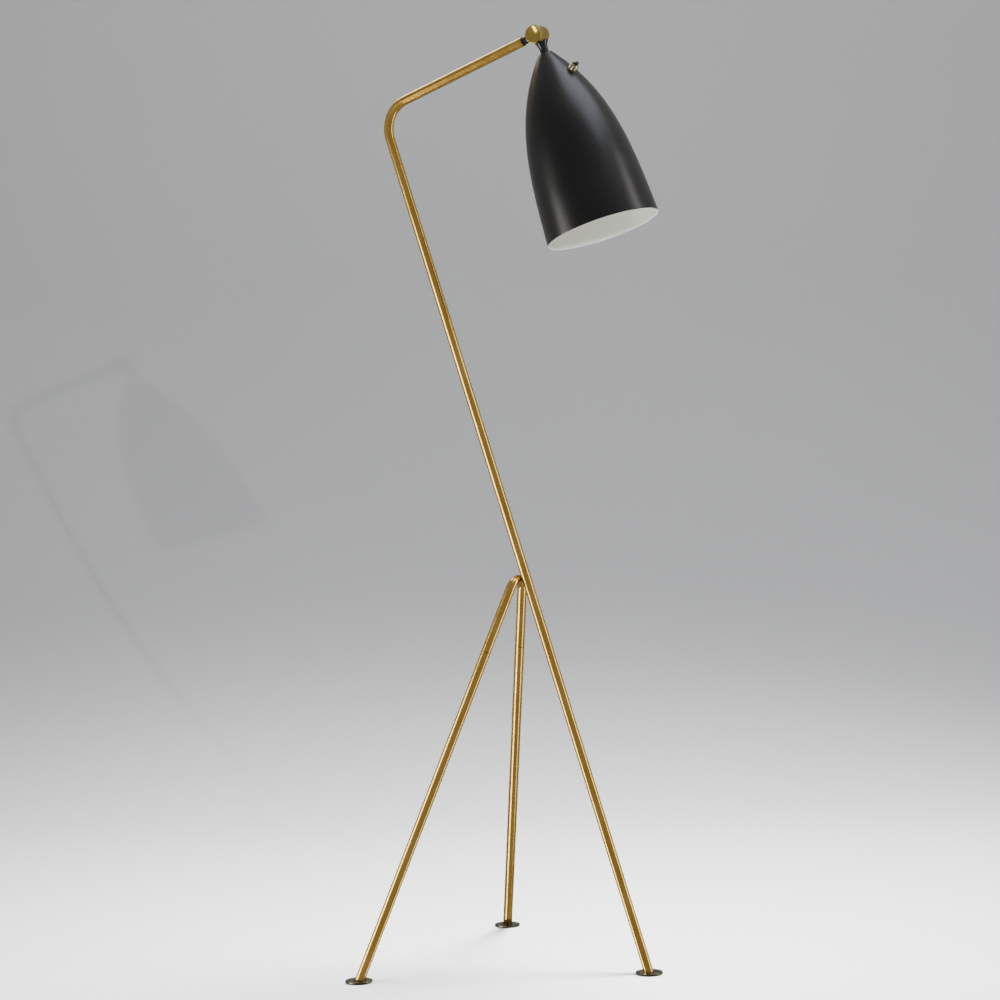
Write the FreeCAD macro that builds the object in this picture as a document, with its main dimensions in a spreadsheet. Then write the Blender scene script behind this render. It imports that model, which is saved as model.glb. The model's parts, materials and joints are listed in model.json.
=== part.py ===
import FreeCAD, Part
import math
import os
import re
import Sketcher
from FreeCAD import Placement, Rotation, Vector

# Tripod floor lamp: one bent tube is stem and arm, a hairpin tube behind it makes the two rear legs,
# and a spun shade tilts on a knuckle at the arm's end. Millimetres, +Z up, +X towards the shade.

doc = FreeCAD.newDocument("tripod_floor_lamp")
sheet = doc.addObject("Spreadsheet::Sheet", "Dims")

# Driving dimensions. Angles are degrees; "station" is a distance along the stem or leg from its foot,
# and "depth" is a distance down the shade's axis from the knuckle pivot.
driving = {
    # stem and arm
    "tubeDia": 13.0, "tubeWall": 1.2,
    "stemLean": 18.12, "stemLength": 1212.8, "bendRadius": 40.0,
    "armRise": 19.2, "armLength": 259.3, "armGap": 22.6,
    # feet
    "footBack": 328.5, "footHalf": 195.2,
    "discDia": 36.3, "discThick": 1.6, "padDia": 32.0, "padThick": 1.0, "discRound": 0.6,
    # rear legs
    "yokeStation": 548.4, "yokeRadius": 17.0, "yokeGap": 0.3, "seamDrop": 140.5, "seamChamfer": 0.4,
    "studLength": 36.0, "studClear": 0.1, "studBore": 4.0, "weldDia": 9.0,
    # cord inlet at the foot of the stem
    "glandStation": 52.0, "glandHole": 8.0, "glandBore": 6.2, "glandLength": 3.0, "glandFit": 0.05,
    # knuckle, along the pivot from the arm's middle plane
    "barrelDia": 24.4, "armEyeFront": 3.6, "armEyeBack": 2.6, "capLength": 7.0, "dishDepth": 3.6,
    "rimLand": 0.4, "rimRound": 0.9, "washerThick": 0.4, "faceGap": 0.05, "eyeThick": 6.35, "nutThick": 3.1,
    "pivotDia": 9.0, "pivotBore": 6.0, "pivotFit": 0.05, "pivotEngage": 2.4, "clampFit": 0.02,
    "armShankDia": 5.0, "armShankReach": 37.0, "plugLength": 14.0, "leadPassage": 3.2,
    "collarDia": 12.0, "collarWaist": 10.6, "barrelClear": 0.3,
    # neck and hollow stud that carry the shade
    "headShankDia": 6.0, "headShankReach": 26.0, "neckDia": 11.6, "neckFlare": 9.2,
    "neckTopDepth": 10.0, "neckBaseDepth": 21.0, "nippleDia": 9.5, "nippleTop": 20.6, "nippleReach": 43.0,
    # shade
    "shadeLean": 18.83, "shadeTop": 26.5, "shadeLength": 247.1, "shadeWall": 1.0, "crownRadius": 9.6,
    "shoulderSwell": 53.5, "shoulderPower": 3.4, "shadeFlare": 13.1,
    # lamp holder and bulb
    "nutFlats": 13.0, "lockNutThick": 3.0, "holderTop": 31.5, "holderDia": 34.0, "holderReach": 82.0,
    "holderWall": 2.2, "holderShoulder": 44.0, "screwBore": 27.2, "screwWall": 0.4, "capDia": 26.4,
    "capReach": 78.0, "bulbDia": 60.0, "bulbReach": 160.0, "glassWall": 0.8,
    # switch in the shade's shoulder
    "switchDepth": 64.0, "switchRound": -14.0, "switchWide": 12.7, "switchTall": 8.0, "switchDeep": 9.0,
    "switchSink": 2.2, "bushDia": 6.0, "bushBore": 4.8, "bushRise": 5.0,
    "dressDia": 13.0, "dressTop": 9.8, "dressRise": 9.5, "fluteDia": 3.2, "fluteDepth": 0.9, "fluteCount": 10,
    "leverDia": 2.4, "leverPivot": 4.0, "pinDia": 1.0, "tipDia": 5.4, "tipStart": 6.7, "tipEnd": 10.3,
    "throwHalf": 13.0,
    # electric lead
    "leadDia": 2.2, "leadBend": 2.25,
    # how far the shade tilts from rest, for the slot in the pivot tube
    "tiltBack": 15.0, "tiltUp": 60.0,
}

# Sizes that follow from the driving ones.
derived = {
    "bendTurn": "90 - (armRise - stemLean)",
    "bendTangent": "bendRadius * tan(bendTurn / 2)",
    "footRise": "padThick + discThick",
    "apexBack": "tubeDia + yokeGap",
    "apexX": "-yokeStation * sin(stemLean) - apexBack * cos(stemLean)",
    "apexZ": "yokeStation * cos(stemLean) - apexBack * sin(stemLean)",
    "planeLean": "atan((apexX + footBack) / apexZ)",
    "planeReach": "sqrt((apexX + footBack) ^ 2 + apexZ ^ 2) - yokeRadius",
    "legHalf": "atan(footHalf / planeReach) - asin(yokeRadius / sqrt(footHalf ^ 2 + planeReach ^ 2))",
    "legLength": "footHalf / sin(legHalf)",
    "yokeTangent": "yokeRadius / tan(legHalf)",
    "legSeam": "legLength - seamDrop",
    "dishDia": "barrelDia - 2 * (rimRound + rimLand)",
    "dishRadius": "(dishDia ^ 2 / 4 + dishDepth ^ 2) / (2 * dishDepth)",
    "headPlane": "armEyeBack + washerThick + faceGap + eyeThick / 2",
    "headBack": "headPlane + eyeThick / 2",
    "leadMeet": "armEyeBack + washerThick / 2",
}

for row, (alias, content) in enumerate({**driving, **derived}.items(), start=1):
    sheet.set(f"A{row}", alias)
    sheet.set(f"B{row}", f"={content}" if alias in derived else str(content))
    sheet.setAlias(f"B{row}", alias)
doc.recompute()


def bound(text):
    # Names the sheet's cells in an expression.
    known = {**driving, **derived}
    return re.sub(r"[A-Za-z]\w*", lambda m: f"Dims.{m.group()}" if m.group() in known else m.group(), str(text))


def value(text):
    result = sheet.evalExpression(bound(text))
    return getattr(result, "Value", result)


# Frames: one for each direction that pieces are made along.
axisX, axisY, axisZ = Vector(1, 0, 0), Vector(0, 1, 0), Vector(0, 0, 1)


def turn(axis, degrees):
    return Placement(Vector(), Rotation(axis, degrees))


def shift(x=0, y=0, z=0):
    return Placement(Vector(x, y, z), Rotation())


alongPivot = turn(axisX, -90)
stemFrame = turn(axisY, -value("stemLean"))
bendCorner = stemFrame.multVec(Vector(0, 0, value("stemLength")))
pivotPoint = bendCorner + turn(axisY, -value("armRise")).multVec(Vector(value("armLength"), 0, 0))
armFrame = Placement(pivotPoint, Rotation(axisY, -value("armRise")))
armKnuckle = armFrame * alongPivot
headSquare = Placement(pivotPoint, Rotation(axisY, -value("shadeLean")))
headKnuckle = headSquare * alongPivot
headFrame = headSquare * shift(y=value("headPlane"))
legPlane = shift(x=-value("footBack")) * turn(axisY, value("planeLean"))


def legFrame(side):
    return legPlane * shift(y=side * value("footHalf")) * turn(axisX, side * value("legHalf"))


def footFrame(point):
    return Placement(point, Rotation())


feet = {
    "front": Vector(),
    "left": Vector(-value("footBack"), -value("footHalf"), 0),
    "right": Vector(-value("footBack"), value("footHalf"), 0),
}
legSides = {"left": -1, "right": 1}

# The shade's outline: radius at a depth below the pivot, and its slope there.


def shadeRadius(depth):
    t = (depth - value("shadeTop")) / value("shadeLength")
    swell = 1 - max(1 - t, 0) ** value("shoulderPower")
    return value("crownRadius") + value("shoulderSwell") * swell + value("shadeFlare") * t


def shadeSlope(depth):
    step = 0.01
    return (shadeRadius(depth + step) - shadeRadius(depth - step)) / (2 * step)


switchTurn = math.degrees(math.atan2(1, shadeSlope(value("switchDepth"))))
switchPoint = Vector(shadeRadius(value("switchDepth")), 0, -value("switchDepth"))
switchSeat = turn(axisZ, value("switchRound")) * Placement(switchPoint, Rotation(axisY, switchTurn))
switchFrame = headFrame * switchSeat
pinFrame = switchFrame * shift(z=value("leverPivot"))
leverFrame = pinFrame * turn(axisY, value("throwHalf"))

# Helpers: a body, its sketches and its features. Every size goes in as an expression of the sheet's cells.
subparts = []


def newBody(name, frame):
    body = doc.addObject("PartDesign::Body", name)
    body.Label = name
    body.Placement = frame
    subparts.append(body)
    return body


def newSketch(body, role, lift="0", level=None):
    # A sketch on one of the body's own planes, lifted along its normal or laid level through a point.
    sketch = body.newObject("Sketcher::SketchObject", f"{body.Name}_sketch")
    plane = next(item for item in body.Origin.OriginFeatures if item.Role == role)
    sketch.AttachmentSupport = [(plane, "")]
    sketch.MapMode = "FlatFace"
    if level is None:
        sketch.setExpression("AttachmentOffset.Base.z", bound(lift))
    else:
        sketch.AttachmentOffset = Placement(Vector(), body.Placement.Rotation.inverted()) * shift(z=level)
    return sketch


def bind(sketch, constraint, text):
    number = sketch.addConstraint(constraint)
    sketch.setExpression(f"Constraints[{number}]", bound(text))


def pin(sketch, item, end, x, y):
    bind(sketch, Sketcher.Constraint("DistanceX", -1, 1, item, end, value(x)), x)
    bind(sketch, Sketcher.Constraint("DistanceY", -1, 1, item, end, value(y)), y)


def circle(sketch, diameter, x="0", y="0"):
    ring = Part.Circle(Vector(value(x), value(y), 0), axisZ, value(diameter) / 2)
    item = sketch.addGeometry(ring)
    pin(sketch, item, 3, x, y)
    bind(sketch, Sketcher.Constraint("Diameter", item, value(diameter)), diameter)


def outline(sketch, points, closed=True):
    # Points are (x, y); (x, y, radius, side) starts an arc that bulges to the right (1) or left (-1).
    spots = [Vector(value(point[0]), value(point[1]), 0) for point in points]
    count = len(points) if closed else len(points) - 1
    starts, ends = [], []
    for index in range(count):
        begin, finish = spots[index], spots[(index + 1) % len(spots)]
        if len(points[index]) == 2:
            item = sketch.addGeometry(Part.LineSegment(begin, finish))
            starts.append((item, 1))
            ends.append((item, 2))
            continue
        radius, side = points[index][2:]
        half = (finish - begin) * 0.5
        across = Vector(-half.y, half.x, 0).normalize()
        centre = begin + half + across * side * math.sqrt(value(radius) ** 2 - half.Length ** 2)
        first, last = (begin, finish) if side == 1 else (finish, begin)
        angles = [math.atan2(spot.y - centre.y, spot.x - centre.x) for spot in (first, last)]
        if angles[1] < angles[0]:
            angles[1] += 2 * math.pi
        arc = Part.ArcOfCircle(Part.Circle(centre, axisZ, value(radius)), angles[0], angles[1])
        item = sketch.addGeometry(arc)
        starts.append((item, 1 if side == 1 else 2))
        ends.append((item, 2 if side == 1 else 1))
        bind(sketch, Sketcher.Constraint("Radius", item, value(radius)), radius)
    for index in range(count):
        pin(sketch, *starts[index], *points[index][:2])
        if closed or index > 0:
            sketch.addConstraint(Sketcher.Constraint("Coincident", *ends[index - 1], *starts[index]))
    if not closed:
        pin(sketch, *ends[-1], *points[-1][:2])


def feature(body, kind, sketch, **settings):
    item = body.newObject(f"PartDesign::{kind}", f"{body.Name}_{kind}")
    item.Profile = sketch
    for name, content in settings.items():
        if isinstance(content, str) and name in ("Length", "Angle", "TaperAngle"):
            item.setExpression(name, bound(content))
        else:
            setattr(item, name, content)
    sketch.Visibility = False
    doc.recompute()
    return item


def cut(body, kind, sketch, **settings):
    # A feature that takes material away, with a test that it did.
    before = body.Shape.Volume
    item = feature(body, kind, sketch, **settings)
    if body.Shape.Volume >= before - 1e-6:
        raise RuntimeError(f"{item.Name} removed nothing")
    return item


def turned(name, frame, points):
    # A piece turned about its own Z, from its half outline in radius and height.
    body = newBody(name, frame)
    sketch = newSketch(body, "XZ_Plane")
    outline(sketch, points)
    feature(body, "Revolution", sketch, ReferenceAxis=(sketch, ["V_Axis"]), Angle="360")
    return body


def ringEdges(shape, frame, height, diameter):
    # The names of the round edges of one diameter at one height in the piece's own frame.
    names = []
    for number, edge in enumerate(shape.Edges, start=1):
        curve = edge.Curve
        if not isinstance(curve, Part.Circle) or abs(curve.Radius - diameter / 2) > 1e-3:
            continue
        if abs(frame.inverse().multVec(curve.Center).z - height) < 1e-3:
            names.append(f"Edge{number}")
    return names


def dress(body, kind, size, rings):
    # Rounds or bevels the round edges at the given heights and diameters.
    base = body.Tip
    names = []
    for height, diameter in rings:
        names += ringEdges(base.Shape, Placement(), value(height), value(diameter))
    if not names:
        raise RuntimeError(f"{body.Name} has no edge to dress")
    item = body.newObject(f"PartDesign::{kind}", f"{body.Name}_{kind}")
    item.Base = (base, names)
    item.setExpression("Radius" if kind == "Fillet" else "Size", bound(size))
    doc.recompute()


def levelCut(body):
    # Trims a tube's lower end flat on top of its foot disc.
    sketch = newSketch(body, "XY_Plane", level=value("footRise"))
    circle(sketch, "tubeDia * 4")
    cut(body, "Pocket", sketch, Length="tubeDia * 4")


def tubeProfile(body, lift):
    sketch = newSketch(body, "XY_Plane", lift)
    circle(sketch, "tubeDia")
    circle(sketch, "tubeDia - 2 * tubeWall")
    return sketch


def hexagon(sketch, flats):
    # Corners at a sixth of a turn, bound to the width across flats.
    corners = []
    for step in range(6):
        angle = 30 + 60 * step
        corners.append((f"{flats} / sqrt(3) * cos({angle})", f"{flats} / sqrt(3) * sin({angle})"))
    outline(sketch, corners)


# Stem and arm: one tube, straight from the front foot, bent once, straight to the knuckle.
stem = newBody("stem_tube", stemFrame)
stemRoute = newSketch(stem, "XZ_Plane")
armTilt = "(armRise - stemLean)"
outline(stemRoute, [
    ("0", "-tubeDia"),
    ("0", "stemLength - bendTangent", "bendRadius", -1),
    (f"bendTangent * cos{armTilt}", f"stemLength + bendTangent * sin{armTilt}"),
    (f"(armLength - armGap) * cos{armTilt}", f"stemLength + (armLength - armGap) * sin{armTilt}"),
], closed=False)
feature(stem, "AdditivePipe", tubeProfile(stem, "-tubeDia"), Spine=(stemRoute, ["Edge1", "Edge2", "Edge3"]))
levelCut(stem)
glandSketch = newSketch(stem, "XZ_Plane")
circle(glandSketch, "glandHole", "0", "glandStation")
cut(stem, "Pocket", glandSketch, Length="tubeDia")

# Cord inlet: a plain bush in the side of the stem.
glandFrame = stemFrame * shift(z=value("glandStation")) * turn(axisX, -90)
turned("cord_gland", glandFrame, [
    ("glandBore / 2", "tubeDia / 2 + 0.5 - glandLength"),
    ("glandHole / 2 - glandFit", "tubeDia / 2 + 0.5 - glandLength"),
    ("glandHole / 2 - glandFit", "tubeDia / 2 + 0.5"),
    ("glandBore / 2", "tubeDia / 2 + 0.5"),
])

# Rear legs: a hairpin tube in the plane of the two rear feet, with a screwed-on leg below each seam.
yoke = newBody("leg_yoke", legFrame(-1))
yokeRoute = newSketch(yoke, "YZ_Plane")
outline(yokeRoute, [
    ("0", "legSeam"),
    ("0", "legLength - yokeTangent", "yokeRadius", -1),
    ("yokeTangent * sin(2 * legHalf)", "legLength - yokeTangent * cos(2 * legHalf)"),
    ("seamDrop * sin(2 * legHalf)", "legLength - seamDrop * cos(2 * legHalf)"),
], closed=False)
feature(yoke, "AdditivePipe", tubeProfile(yoke, "legSeam"), Spine=(yokeRoute, ["Edge1", "Edge2", "Edge3"]))
dress(yoke, "Chamfer", "seamChamfer", [("legSeam", "tubeDia")])

for place, side in legSides.items():
    leg = newBody(f"leg_{place}", legFrame(side))
    feature(leg, "Pad", tubeProfile(leg, "-tubeDia"), Length="legSeam + tubeDia")
    levelCut(leg)
    dress(leg, "Chamfer", "seamChamfer", [("legSeam", "tubeDia")])

    stud = newBody(f"stud_{place}", legFrame(side))
    studSketch = newSketch(stud, "XY_Plane", "legSeam - studLength / 2")
    circle(studSketch, "tubeDia - 2 * tubeWall - 2 * studClear")
    circle(studSketch, "studBore")
    feature(stud, "Pad", studSketch, Length="studLength")

# Feet: a metal disc with a thin pad under it.
for place, point in feet.items():
    disc = turned(f"foot_disc_{place}", footFrame(point), [
        ("0", "padThick"), ("discDia / 2", "padThick"), ("discDia / 2", "footRise"), ("0", "footRise"),
    ])
    dress(disc, "Fillet", "discRound", [("padThick", "discDia"), ("footRise", "discDia")])
    turned(f"foot_pad_{place}", footFrame(point), [
        ("0", "0"), ("padDia / 2", "0"), ("padDia / 2", "padThick"), ("0", "padThick"),
    ])

# Weld between the hairpin's crown and the stem: a short round slug, less the two tubes.


def primitive(kind, name, frame, **sizes):
    item = doc.addObject(f"Part::{kind}", name)
    item.Placement = frame
    for size, text in sizes.items():
        item.setExpression(size, bound(text))
    return item


apexFrame = stemFrame * shift(z=value("yokeStation")) * turn(axisY, -90)
weldSlug = primitive("Cylinder", "weld_slug", apexFrame, Radius="weldDia / 2", Height="apexBack")
weldStem = primitive("Cylinder", "weld_stem", stemFrame, Radius="tubeDia / 2", Height="stemLength")
torusFrame = legPlane * shift(z=value("planeReach")) * turn(axisY, 90)
weldYoke = primitive("Torus", "weld_yoke", torusFrame, Radius1="yokeRadius", Radius2="tubeDia / 2")
weldTubes = doc.addObject("Part::Fuse", "weld_tubes")
weldTubes.Base, weldTubes.Tool = weldStem, weldYoke
weld = doc.addObject("Part::Cut", "yoke_weld")
weld.Base, weld.Tool = weldSlug, weldTubes
weld.Label = "yoke_weld"
doc.recompute()
subparts.append(weld)

# Knuckle, from front to back along the pivot: dished cap, arm eye, washer, head eye, rear nut.
turned("knuckle_cap", armKnuckle, [
    ("0", "-armEyeFront - pivotEngage"),
    ("pivotDia / 2 + clampFit", "-armEyeFront - pivotEngage"),
    ("pivotDia / 2 + clampFit", "-armEyeFront"),
    ("barrelDia / 2", "-armEyeFront"),
    ("barrelDia / 2", "-armEyeFront - capLength + rimRound", "rimRound", -1),
    ("barrelDia / 2 - rimRound", "-armEyeFront - capLength"),
    ("dishDia / 2", "-armEyeFront - capLength", "dishRadius", 1),
    ("0", "-armEyeFront - capLength + dishDepth"),
])

armEye = newBody("arm_eye", armKnuckle)
eyeSketch = newSketch(armEye, "XY_Plane", "-armEyeFront")
circle(eyeSketch, "barrelDia")
feature(armEye, "Pad", eyeSketch, Length="armEyeFront + armEyeBack")
shankSketch = newSketch(armEye, "YZ_Plane")
circle(shankSketch, "armShankDia")
feature(armEye, "Pad", shankSketch, Length="armShankReach", Reversed=True)
boreSketch = newSketch(armEye, "XY_Plane", "armEyeBack")
circle(boreSketch, "pivotDia + 2 * clampFit")
cut(armEye, "Pocket", boreSketch, Length="armEyeFront + armEyeBack")
wireSketch = newSketch(armEye, "YZ_Plane")
circle(wireSketch, "leadPassage")
cut(armEye, "Pocket", wireSketch, Length="armShankReach + 1")

turned("friction_washer", armKnuckle, [
    ("pivotDia / 2 + pivotFit", "armEyeBack"), ("barrelDia / 2 - 0.4", "armEyeBack"),
    ("barrelDia / 2 - 0.4", "armEyeBack + washerThick"), ("pivotDia / 2 + pivotFit", "armEyeBack + washerThick"),
])

headEye = newBody("head_eye", headKnuckle)
eyeSketch = newSketch(headEye, "XY_Plane", "headPlane - eyeThick / 2")
circle(eyeSketch, "barrelDia")
feature(headEye, "Pad", eyeSketch, Length="eyeThick")
shankSketch = newSketch(headEye, "XZ_Plane")
circle(shankSketch, "headShankDia", "0", "headPlane")
feature(headEye, "Pad", shankSketch, Length="headShankReach", Reversed=True)
boreSketch = newSketch(headEye, "XY_Plane", "headBack")
circle(boreSketch, "pivotDia + 2 * pivotFit")
cut(headEye, "Pocket", boreSketch, Length="eyeThick")
wireSketch = newSketch(headEye, "XZ_Plane")
circle(wireSketch, "leadPassage", "0", "headPlane")
cut(headEye, "Pocket", wireSketch, Length="headShankReach + 1", Reversed=False)

turned("knuckle_nut", armKnuckle, [
    ("0", "headBack + nutThick"), ("0", "headBack + nutThick - 1"),
    ("pivotDia / 2 + clampFit", "headBack + nutThick - 1"),
    ("pivotDia / 2 + clampFit", "headBack + faceGap"),
    ("barrelDia / 2", "headBack + faceGap"),
    ("barrelDia / 2", "headBack + nutThick - rimRound", "rimRound", 1),
    ("barrelDia / 2 - rimRound", "headBack + nutThick"),
])

# Pivot tube: the lead passes through it, in by a hole on the arm's side and out by a slot that the
# head sweeps over.
pivot = turned("pivot_tube", armKnuckle, [
    ("pivotBore / 2", "-armEyeFront - pivotEngage + clampFit"),
    ("pivotDia / 2", "-armEyeFront - pivotEngage + clampFit"),
    ("pivotDia / 2", "headBack + nutThick - 1 - clampFit"),
    ("pivotBore / 2", "headBack + nutThick - 1 - clampFit"),
])
holeSketch = newSketch(pivot, "YZ_Plane")
circle(holeSketch, "leadPassage")
cut(pivot, "Pocket", holeSketch, Length="pivotDia")
slotSketch = newSketch(pivot, "XY_Plane", "headPlane + leadPassage / 2")
slotSpare, slotReach = 22, "pivotDia * 3"
outline(slotSketch, [
    ("0", "0"),
    (f"{slotReach} * cos(90 - tiltUp - {slotSpare})", f"{slotReach} * sin(90 - tiltUp - {slotSpare})"),
    (f"{slotReach} * cos(90 + tiltBack + {slotSpare})", f"{slotReach} * sin(90 + tiltBack + {slotSpare})"),
])
cut(pivot, "Pocket", slotSketch, Length="leadPassage")

# The arm's end: a plug in the tube that the eye's shank screws into, and a collar that hides the shank.
armEnd = armFrame * turn(axisY, 90)
turned("arm_plug", armEnd, [
    ("armShankDia / 2 + clampFit", "-armGap - plugLength"),
    ("tubeDia / 2 - tubeWall - clampFit", "-armGap - plugLength"),
    ("tubeDia / 2 - tubeWall - clampFit", "-armGap"),
    ("armShankDia / 2 + clampFit", "-armGap"),
])
collar = turned("arm_collar", armEnd, [
    ("armShankDia / 2 + clampFit", "-armGap"),
    ("collarDia / 2", "-armGap"),
    ("collarDia / 2", "-armGap + 1.2"),
    ("collarWaist / 2", "-armGap + 3"),
    ("collarWaist / 2", "-barrelDia / 2 - 3"),
    ("collarDia / 2", "-barrelDia / 2 + 1.5"),
    ("armShankDia / 2 + clampFit", "-barrelDia / 2 + 1.5"),
])
saddle = newSketch(collar, "XZ_Plane")
circle(saddle, "barrelDia + 2 * barrelClear")
cut(collar, "Pocket", saddle, Length="collarDia * 2", SideType="Symmetric")

# Neck: a turned horn that saddles the knuckle and narrows onto the shade.
neck = turned("neck", headFrame, [
    ("headShankDia / 2 + clampFit", "-shadeTop"), ("neckDia / 2", "-shadeTop"),
    ("neckDia / 2", "-neckBaseDepth", "neckFlare * 2.4", -1),
    ("neckFlare", "-neckTopDepth"), ("headShankDia / 2 + clampFit", "-neckTopDepth"),
])
saddle = newSketch(neck, "XZ_Plane")
circle(saddle, "barrelDia + 2 * barrelClear")
cut(neck, "Pocket", saddle, Length="neckFlare * 4", SideType="Symmetric")
nippleHole = newSketch(neck, "XY_Plane", "-nippleTop")
circle(nippleHole, "nippleDia + 2 * clampFit")
cut(neck, "Pocket", nippleHole, Length="shadeTop")

turned("nipple", headFrame, [
    ("headShankDia / 2 + clampFit", "-nippleTop"), ("nippleDia / 2", "-nippleTop"),
    ("nippleDia / 2", "-nippleReach"), ("headShankDia / 2 + clampFit", "-nippleReach"),
])
lockNut = newBody("lock_nut", headFrame)
nutSketch = newSketch(lockNut, "XY_Plane", "-shadeTop - shadeWall - lockNutThick")
hexagon(nutSketch, "nutFlats")
circle(nutSketch, "nippleDia + 2 * clampFit")
feature(lockNut, "Pad", nutSketch, Length="lockNutThick")

# Lamp holder: an insulating shell with a threaded sleeve, a base disc and a centre contact in it.
turned("holder_shell", headFrame, [
    ("nippleDia / 2 + clampFit", "-holderTop"),
    ("nippleDia / 2 + 4.5", "-holderTop"),
    ("holderDia / 2", "-holderShoulder"),
    ("holderDia / 2", "-holderReach"),
    ("holderDia / 2 - holderWall", "-holderReach"),
    ("holderDia / 2 - holderWall", "-holderShoulder - 1"),
    ("nippleDia / 2 + 3", "-holderTop - 4"),
    ("nippleDia / 2 + clampFit", "-holderTop - 4"),
])
turned("holder_base", headFrame, [
    ("2.2", "-holderShoulder - 2"), ("holderDia / 2 - holderWall - 0.1", "-holderShoulder - 2"),
    ("holderDia / 2 - holderWall - 0.1", "-holderShoulder - 6"), ("2.2", "-holderShoulder - 6"),
])
turned("holder_contact", headFrame, [
    ("0", "-holderShoulder - 3"), ("2.1", "-holderShoulder - 3"), ("2.1", "-holderShoulder - 6"),
    ("5", "-holderShoulder - 6"), ("5", "-holderShoulder - 7"), ("0", "-holderShoulder - 7.6"),
])
turned("holder_screw", headFrame, [
    ("screwBore / 2", "-holderShoulder - 6"), ("screwBore / 2 + screwWall", "-holderShoulder - 6"),
    ("screwBore / 2 + screwWall", "-holderReach + 4"), ("screwBore / 2", "-holderReach + 4"),
])

# Bulb: a screw cap with its tip on the contact, and a blown envelope.
turned("bulb_cap", headFrame, [
    ("0", "-holderShoulder - 7.7"), ("4.5", "-holderShoulder - 8"), ("capDia / 2", "-holderShoulder - 13"),
    ("capDia / 2", "-capReach"), ("0", "-capReach"),
])
bulbNeck = "capDia / 2 - 0.6"
turned("bulb_glass", headFrame, [
    (bulbNeck, "-capReach"),
    (bulbNeck, "-capReach - 6", "bulbDia * 1.6", -1),
    ("bulbDia / 2", "-bulbReach + bulbDia / 2", "bulbDia / 2", -1),
    ("0", "-bulbReach"),
    ("0", "-bulbReach + glassWall", "bulbDia / 2 - glassWall", 1),
    ("bulbDia / 2 - glassWall", "-bulbReach + bulbDia / 2", "bulbDia * 1.6 + glassWall", 1),
    (f"{bulbNeck} - glassWall", "-capReach - 6"),
    (f"{bulbNeck} - glassWall", "-capReach"),
])

# Switch: body inside the shoulder, threaded bush through it, fluted dress nut outside, and a toggle lever
# that turns on a cross pin in the bush.
switchBody = newBody("switch_body", switchFrame)
boxSketch = newSketch(switchBody, "XY_Plane", "-switchSink - switchDeep")
outline(boxSketch, [
    ("-switchTall / 2", "-switchWide / 2"), ("switchTall / 2", "-switchWide / 2"),
    ("switchTall / 2", "switchWide / 2"), ("-switchTall / 2", "switchWide / 2"),
])
feature(switchBody, "Pad", boxSketch, Length="switchDeep")
bushSketch = newSketch(switchBody, "XY_Plane", "-switchSink")
circle(bushSketch, "bushDia")
feature(switchBody, "Pad", bushSketch, Length="switchSink + bushRise")
leverHole = newSketch(switchBody, "XY_Plane", "bushRise")
circle(leverHole, "bushBore")
cut(switchBody, "Pocket", leverHole, Length="bushRise")
pinHole = newSketch(switchBody, "XZ_Plane")
circle(pinHole, "pinDia + 2 * clampFit", "0", "leverPivot")
cut(switchBody, "Pocket", pinHole, Length="bushDia * 2", SideType="Symmetric")

dressNut = turned("switch_nut", switchFrame, [
    ("bushDia / 2 + clampFit", "0"), ("dressDia / 2 - 0.4", "0"), ("dressDia / 2", "0.4"),
    ("dressDia / 2 - 0.3", "dressRise * 0.7", "dressRise * 0.55", -1),
    ("dressTop / 2", "dressRise"), ("bushDia / 2 + clampFit", "dressRise"),
])
fluteSketch = newSketch(dressNut, "XY_Plane")
circle(fluteSketch, "fluteDia", "dressDia / 2 + fluteDia / 2 - fluteDepth")
flute = cut(dressNut, "Pocket", fluteSketch, Length="dressRise", Reversed=True)
flutes = dressNut.newObject("PartDesign::PolarPattern", "switch_nut_PolarPattern")
flutes.Originals = [flute]
flutes.Axis = (fluteSketch, ["N_Axis"])
flutes.setExpression("Occurrences", bound("fluteCount"))
dressNut.Tip = flutes

turned("toggle_pin", pinFrame * alongPivot, [
    ("0", "-bushDia / 2 + 0.1"), ("pinDia / 2", "-bushDia / 2 + 0.1"),
    ("pinDia / 2", "bushDia / 2 - 0.1"), ("0", "bushDia / 2 - 0.1"),
])
toggle = turned("switch_toggle", leverFrame, [
    ("0", "-2"), ("leverDia / 2", "-2"), ("leverDia / 2", "tipStart"), ("tipDia / 2 - 0.6", "tipStart"),
    ("tipDia / 2", "tipStart + 0.6"), ("tipDia / 2", "tipEnd - 1.2", "1.2", 1),
    ("tipDia / 2 - 1.2", "tipEnd"), ("0", "tipEnd"),
])
pinBore = newSketch(toggle, "XZ_Plane")
circle(pinBore, "pinDia + 2 * pivotFit")
cut(toggle, "Pocket", pinBore, Length="leverDia * 2", SideType="Symmetric")

# The shade: its outline is a formula, so the shell is a revolved curve made from that formula.


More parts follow.
